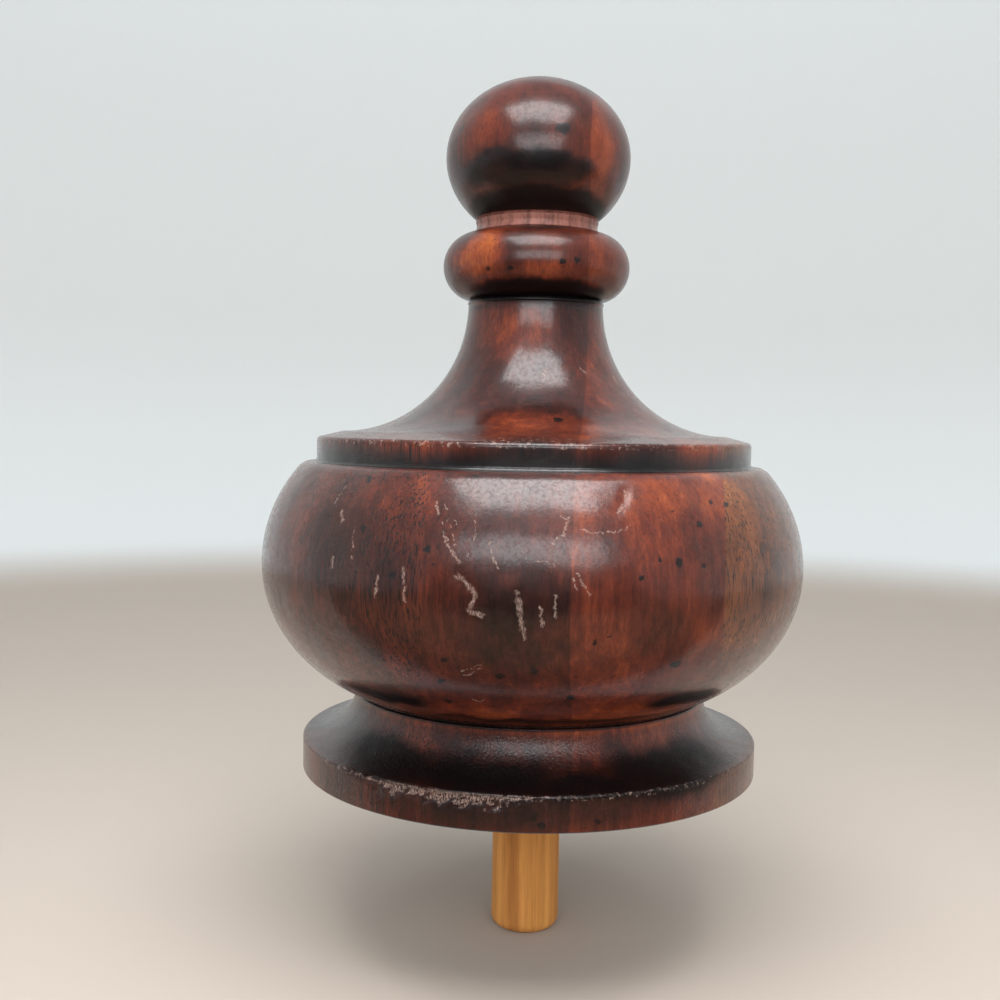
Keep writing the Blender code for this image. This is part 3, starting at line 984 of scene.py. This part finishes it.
def bareWood(s):
    material, tree, shader = newMaterial("bareDowelWood")
    place = scaled(tree, objectPlace(tree), 1 / mm)
    bands = grain(tree, place, s["bands"])
    threads = grain(tree, place, s["threads"])
    across = addNode(tree, "ShaderNodeSeparateXYZ", {0: place}).outputs[0]
    bent = calc(tree, "ADD", across, centred(tree, noiseAt(tree, place, s["bendScale"], 1.0), s["bendReach"]))
    stripeAt, halfWidth, core = s["stripe"]
    stripe = remap(tree, calc(tree, "ABSOLUTE", calc(tree, "SUBTRACT", bent, stripeAt)), halfWidth, core)
    tone = total(tree, [s["middleTone"], centred(tree, bands, s["bandAmount"]),
                        centred(tree, threads, s["threadAmount"]),
                        times(tree, stripe, s["stripeTone"])])
    bump = addNode(tree, "ShaderNodeBump", {"Height": times(tree, threads, s["threadRelief"]),
                                            "Distance": mm}).outputs[0]
    fillAll(tree, shader, {"Base Color": stepRamp(tree, tone, s["tones"]), "Roughness": s["roughness"],
                           "Normal": bump})
    return material


pinPoints = pinOutline(pinSizes)
pinWeights = {name: [0.0] * len(pinPoints) for name in finialWeights}
pin = turnPiece("dowel", pinPoints, pinWeights, lathe, {
    "Turns": pinSizes["turns"], "Front crowding": 0.0, "Chip depth": 0.0, "Worn side": (0, -1, 0),
    "Ripple depth": pinSizes["ripple"], "Ripple scale": pinSizes["rippleScale"], "Seed": pinSizes["seed"]})
pin.data.materials.clear()
pin.data.materials.append(bareWood(pinWood))


# The stage: a pale floor that bends up into a wall all round, a panel overhead, a lower one above the camera,
# a lamp on the wall behind, and two cards for the gloss: a warm one on the floor and a dark one upright on it

stage = dict(
    wallRadius=0.62, bend=0.16, bendSteps=12, wallTop=0.9, opening=64, step=4,   # metres, then degrees
    floorColour=(0.53, 0.46, 0.40), wallColour=(0.84, 0.855, 0.85), changeFrom=0.001, changeTo=0.022,
)

cards = dict(      # seen only in the lacquer: metres behind the axis and above the floor, then across
    # the warm card fades to near black towards the finial: painted shade on its near edge
    warmCard=dict(outline=[(-0.045, 0.003), (-0.60, 0.003)], halfWidth=0.45, fade=(-0.045, -0.085),
                  colours=[(0.03, 0.02, 0.015), (0.26, 0.17, 0.12)]),
    darkCard=dict(outline=[(-0.212, 0.0), (-0.212, 0.126)], halfWidth=0.16, colours=[(0.02, 0.02, 0.02)]),
)

lamps = dict(      # metres, and the radiance of the panel's face
    overheadPanel=dict(place=(0.002, -0.141, 0.306), target=(0.002, -0.140, 0.0), size=(0.240, 0.168),
                       radiance=8.4, colour=(1.0, 0.98, 0.98)),
    frontPanel=dict(place=(0.01, -0.307, 0.1525), target=(0.0, -0.0695, 0.0155), size=(0.30, 0.135),
                    radiance=4.3, colour=(0.97, 0.98, 1.0)),
    wallLamp=dict(place=(0.0, 0.05, 0.80), target=(0.0, 0.62, 0.10), size=(0.9, 0.3),
                  radiance=3.0, colour=(0.94, 0.98, 1.0)),
)

room = dict(colour=(0.85, 0.93, 1.0, 1), strength=0.52)


def sheet(name, verts, faces, material):
    mesh = bpy.data.meshes.new(name)
    mesh.from_pydata(verts, [], faces)
    mesh.shade_smooth()
    mesh.materials.append(material)
    return addObject(name, mesh)


def paper(name, colour, roughness=0.9, shine=0.1):
    material, tree, shader = newMaterial(name)
    fillAll(tree, shader, {"Base Color": (*colour, 1), "Roughness": roughness, "Specular IOR Level": shine})
    return material


def addTent(name, s, floorHeight, fromAngle, toAngle, material):
    # a stretch of the floor that bends up into the wall round about the finial
    inner = s["wallRadius"] - s["bend"]
    outline = [(0.0, 0.0), (inner * 0.5, 0.0), (inner, 0.0)]
    outline += [(inner + s["bend"] * math.sin(a), s["bend"] * (1 - math.cos(a)))
                for a in (math.pi / 2 * i / s["bendSteps"] for i in range(1, s["bendSteps"] + 1))]
    outline += [(s["wallRadius"], s["wallTop"])]
    sides = round(abs(toAngle - fromAngle) / s["step"])
    angles = [math.radians(fromAngle + (toAngle - fromAngle) * i / sides) for i in range(sides + 1)]
    verts = [(-radius * math.sin(a), -radius * math.cos(a), floorHeight + height)
             for a in angles for radius, height in outline]
    count = len(outline)
    faces = [(i * count + k, i * count + k + 1, (i + 1) * count + k + 1, (i + 1) * count + k)
             for i in range(sides) for k in range(count - 1)]
    return sheet(name, verts, faces, material)


def fadedPaper(name, axis, fromPlace, toPlace, fromColour, toColour):
    material = paper(name, fromColour)
    tree = material.node_tree
    along = addNode(tree, "ShaderNodeSeparateXYZ", {0: objectPlace(tree)}).outputs[axis]
    colour = mixed(tree, remap(tree, along, fromPlace, toPlace), fromColour, toColour)
    tree.links.new(colour, tree.nodes["Principled BSDF"].inputs["Base Color"])
    return material


def addCard(name, base, outline, halfWidth, colours, fade=None):
    verts = [(side * halfWidth, y, base + z) for y, z in outline for side in (-1, 1)]
    faces = [(2 * i, 2 * i + 1, 2 * i + 3, 2 * i + 2) for i in range(len(outline) - 1)]
    material = fadedPaper(name, "Y", *fade, *colours) if fade else paper(name, *colours)
    card = sheet(name, verts, faces, material)
    card.visible_camera = card.visible_diffuse = card.visible_shadow = card.visible_transmission = False
    return card


def addPanel(name, place, target, size, radiance, colour):
    lamp = bpy.data.lights.new(name, "AREA")
    lamp.shape = "RECTANGLE"
    lamp.size, lamp.size_y = size
    lamp.energy = radiance * math.pi * size[0] * size[1]
    lamp.color = colour
    panel = addObject(name, lamp)
    panel.location = place
    panel.rotation_euler = (Vector(target) - Vector(place)).to_track_quat("-Z", "Y").to_euler()
    return panel


floorHeight = pinLow.z
tentPaper = fadedPaper("tentPaper", "Z", floorHeight + stage["changeFrom"], floorHeight + stage["changeTo"],
                       stage["floorColour"], stage["wallColour"])
opening = stage["opening"]
addTent("tent", stage, floorHeight, opening, 360 - opening, tentPaper)
tentFront = addTent("tentFront", stage, floorHeight, opening, -opening, tentPaper)
tentFront.visible_glossy = False      # so that the lacquer stays dark towards the camera
for name, values in cards.items():
    addCard(name, floorHeight, **values)
panels = {name: addPanel(name, **lamp) for name, lamp in lamps.items()}
panels["wallLamp"].visible_glossy = False
world = bpy.data.worlds.new("room")
world.use_nodes = True
backdrop = world.node_tree.nodes["Background"].inputs
backdrop["Color"].default_value = room["colour"]
backdrop["Strength"].default_value = room["strength"]
bpy.context.scene.world = world
bpy.context.scene.view_settings.view_transform = "Standard"
print("stage and lamps placed")

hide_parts("finial_body")
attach(finial, "root")
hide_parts("mounting_dowel")
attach(pin, "root")
